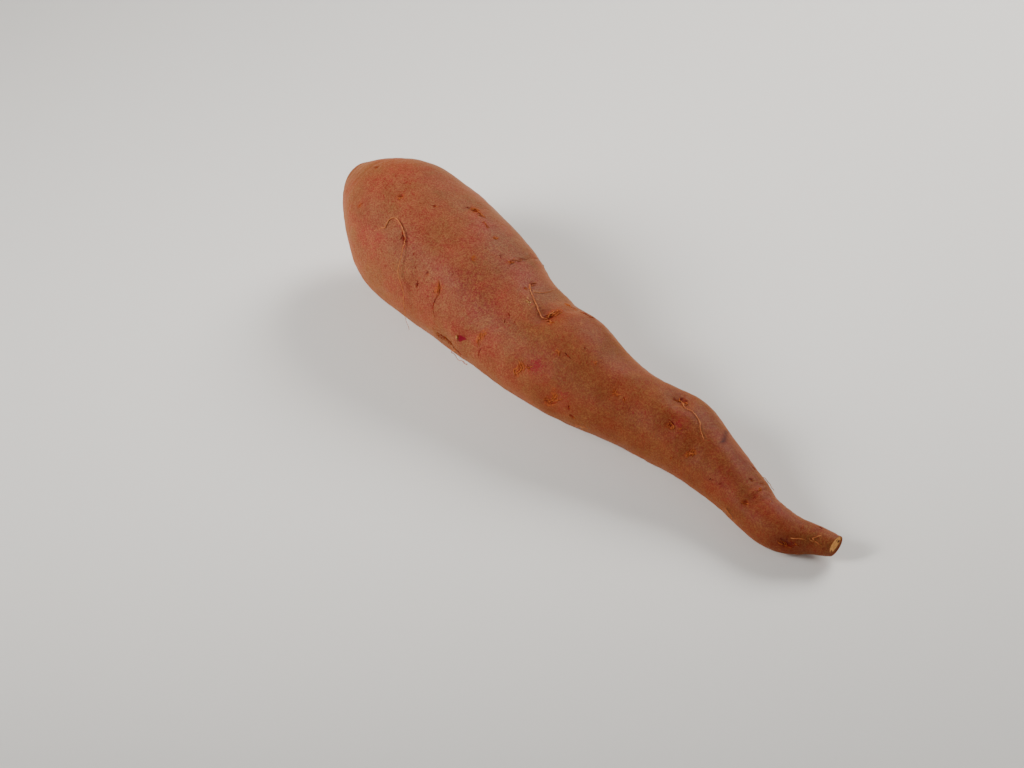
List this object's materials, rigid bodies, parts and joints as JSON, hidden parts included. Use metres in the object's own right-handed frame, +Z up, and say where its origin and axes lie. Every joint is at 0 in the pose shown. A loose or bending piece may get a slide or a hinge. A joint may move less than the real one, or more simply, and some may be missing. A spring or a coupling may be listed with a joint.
{
  "type": "sweet potato",
  "caption": "Long raw sweet potato lying on its side: fat near the vine end, gently bent, running out into a thin cut tail, with scars and fine rootlets.",
  "frame": {"origin": "under the middle of the root's box, on the surface it rests on", "axes": "+X from the fat vine end towards the cut tail, +Z up; -Y is the side that the picture shows"},
  "size_m": [0.271, 0.0638, 0.0595],
  "materials": {
    "sweet_potato_skin": "matt, unwashed reddish-tan skin with dust, purple blushes, orange corky scars and short dark dashes"
  },
  "bodies": {
    "root": {"sweet_potato": "sweet_potato_skin"}
  },
  "joints": []
}
